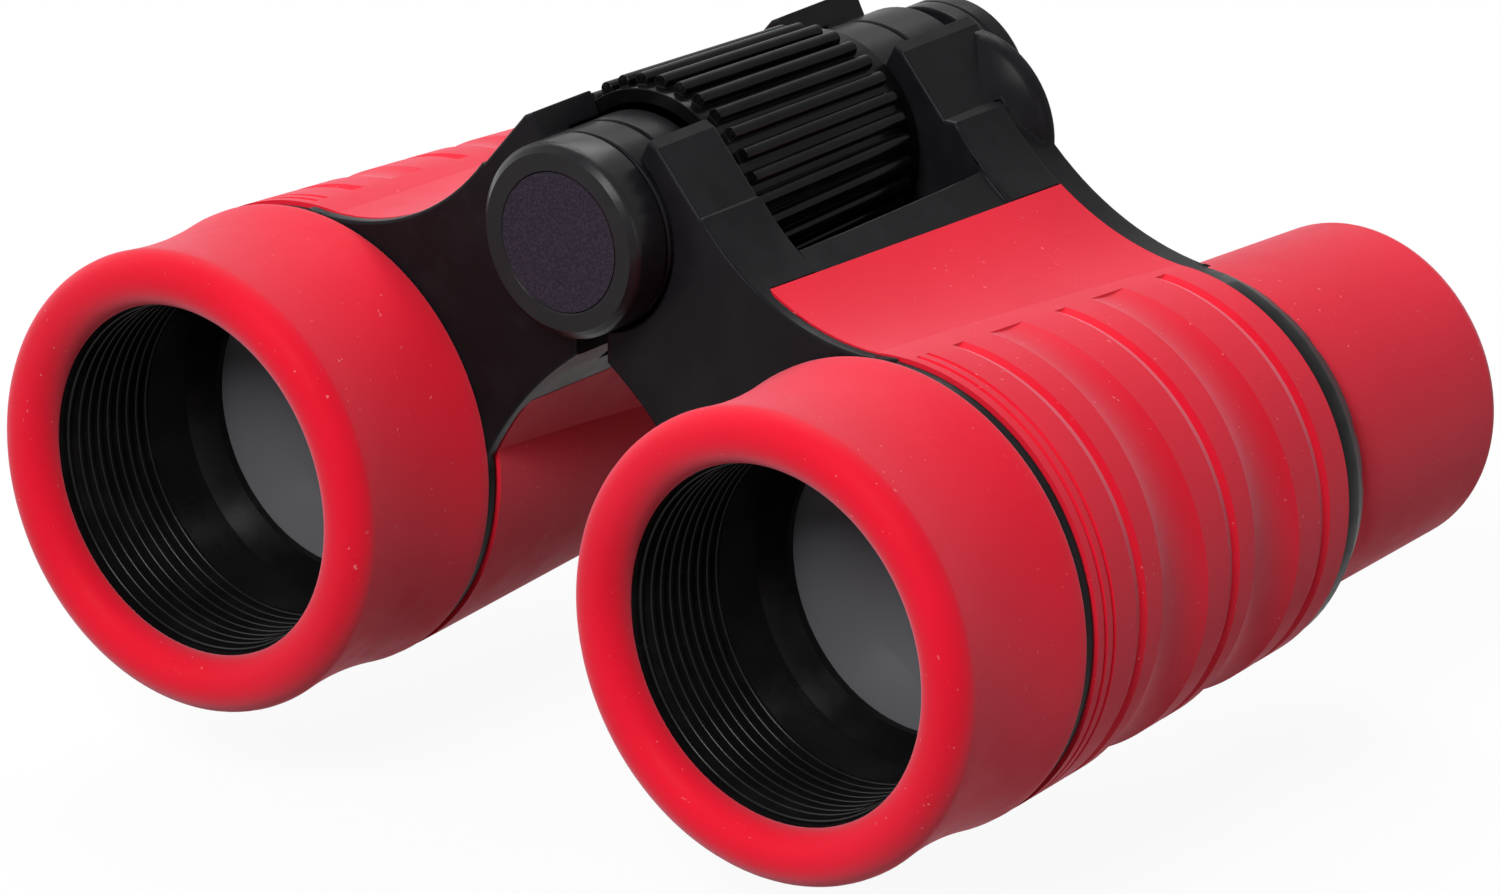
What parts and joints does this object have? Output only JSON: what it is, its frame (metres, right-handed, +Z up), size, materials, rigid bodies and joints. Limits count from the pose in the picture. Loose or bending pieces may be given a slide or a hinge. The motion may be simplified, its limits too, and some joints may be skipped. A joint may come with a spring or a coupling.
{
  "type": "toy binoculars",
  "caption": "Folding toy binoculars with soft red armour, thick rubber objective rings, a centre hinge with a front cap and a ribbed focus wheel that slides both eyepieces.",
  "frame": {"origin": "under the middle of the binoculars, on the plane that the barrels lie on", "axes": "+X towards the right barrel, +Y from the objectives to the eyepieces, +Z up through the hinge"},
  "size_m": [0.1072, 0.087, 0.0582],
  "materials": {
    "red_rubber": "soft-touch matte rubber",
    "black_plastic": "satin moulded plastic",
    "cell_plastic": "semi-gloss moulded plastic",
    "wheel_plastic": "semi-gloss moulded plastic",
    "lens_glass": "coated glass",
    "disc_inlay": "fine-grained matte film",
    "steel": "turned steel"
  },
  "bodies": {
    "right_half": {"right_body": "black_plastic", "right_armour": "red_rubber", "right_objective_ring": "red_rubber", "right_objective_cell": "cell_plastic", "right_objective_lens": "lens_glass", "right_lens_retainer": "cell_plastic", "front_cap": "black_plastic", "cap_disc": "disc_inlay", "front_hinge_pin": "steel", "rear_hinge_bush": "steel"},
    "left_half": {"left_body": "black_plastic", "left_armour": "red_rubber", "left_objective_ring": "red_rubber", "left_objective_cell": "cell_plastic", "left_objective_lens": "lens_glass", "left_lens_retainer": "cell_plastic"},
    "focus_wheel": {"focus_wheel": "wheel_plastic"},
    "right_eyepiece": {"right_eyepiece_tube": "black_plastic", "right_eyecup": "red_rubber", "right_eye_lens": "lens_glass", "right_eye_retainer": "cell_plastic", "right_focus_arm": "black_plastic", "focus_screw": "steel", "bridge_washer": "steel", "bridge_screw": "steel"},
    "left_eyepiece": {"left_eyepiece_tube": "black_plastic", "left_eyecup": "red_rubber", "left_eye_lens": "lens_glass", "left_eye_retainer": "cell_plastic", "left_focus_arm": "black_plastic"}
  },
  "joints": [
    {"name": "hinge_fold", "type": "hinge", "parent": "right_half", "child": "left_half", "pos_m": [0, 0, 0.04679], "axis": [0, 1, 0], "range_deg": [-15, 12]},
    {"name": "focus_turn", "type": "hinge", "parent": "right_half", "child": "focus_wheel", "pos_m": [0, 0, 0.04679], "axis": [0, 1, 0], "range_deg": [-200, 200]},
    {"name": "right_eyepiece_slide", "type": "slide", "parent": "right_half", "child": "right_eyepiece", "axis": [0, 1, 0], "range_m": [-0.0022, 0.0022]},
    {"name": "left_eyepiece_slide", "type": "slide", "parent": "left_half", "child": "left_eyepiece", "axis": [0, 1, 0], "range_m": [-0.0022, 0.0022]}
  ],
  "couplings": [
    {"joint": "focus_turn", "follows": "right_eyepiece_slide", "rad_per_m": 1586.7},
    {"joint": "left_eyepiece_slide", "follows": "right_eyepiece_slide", "ratio": 1}
  ]
}
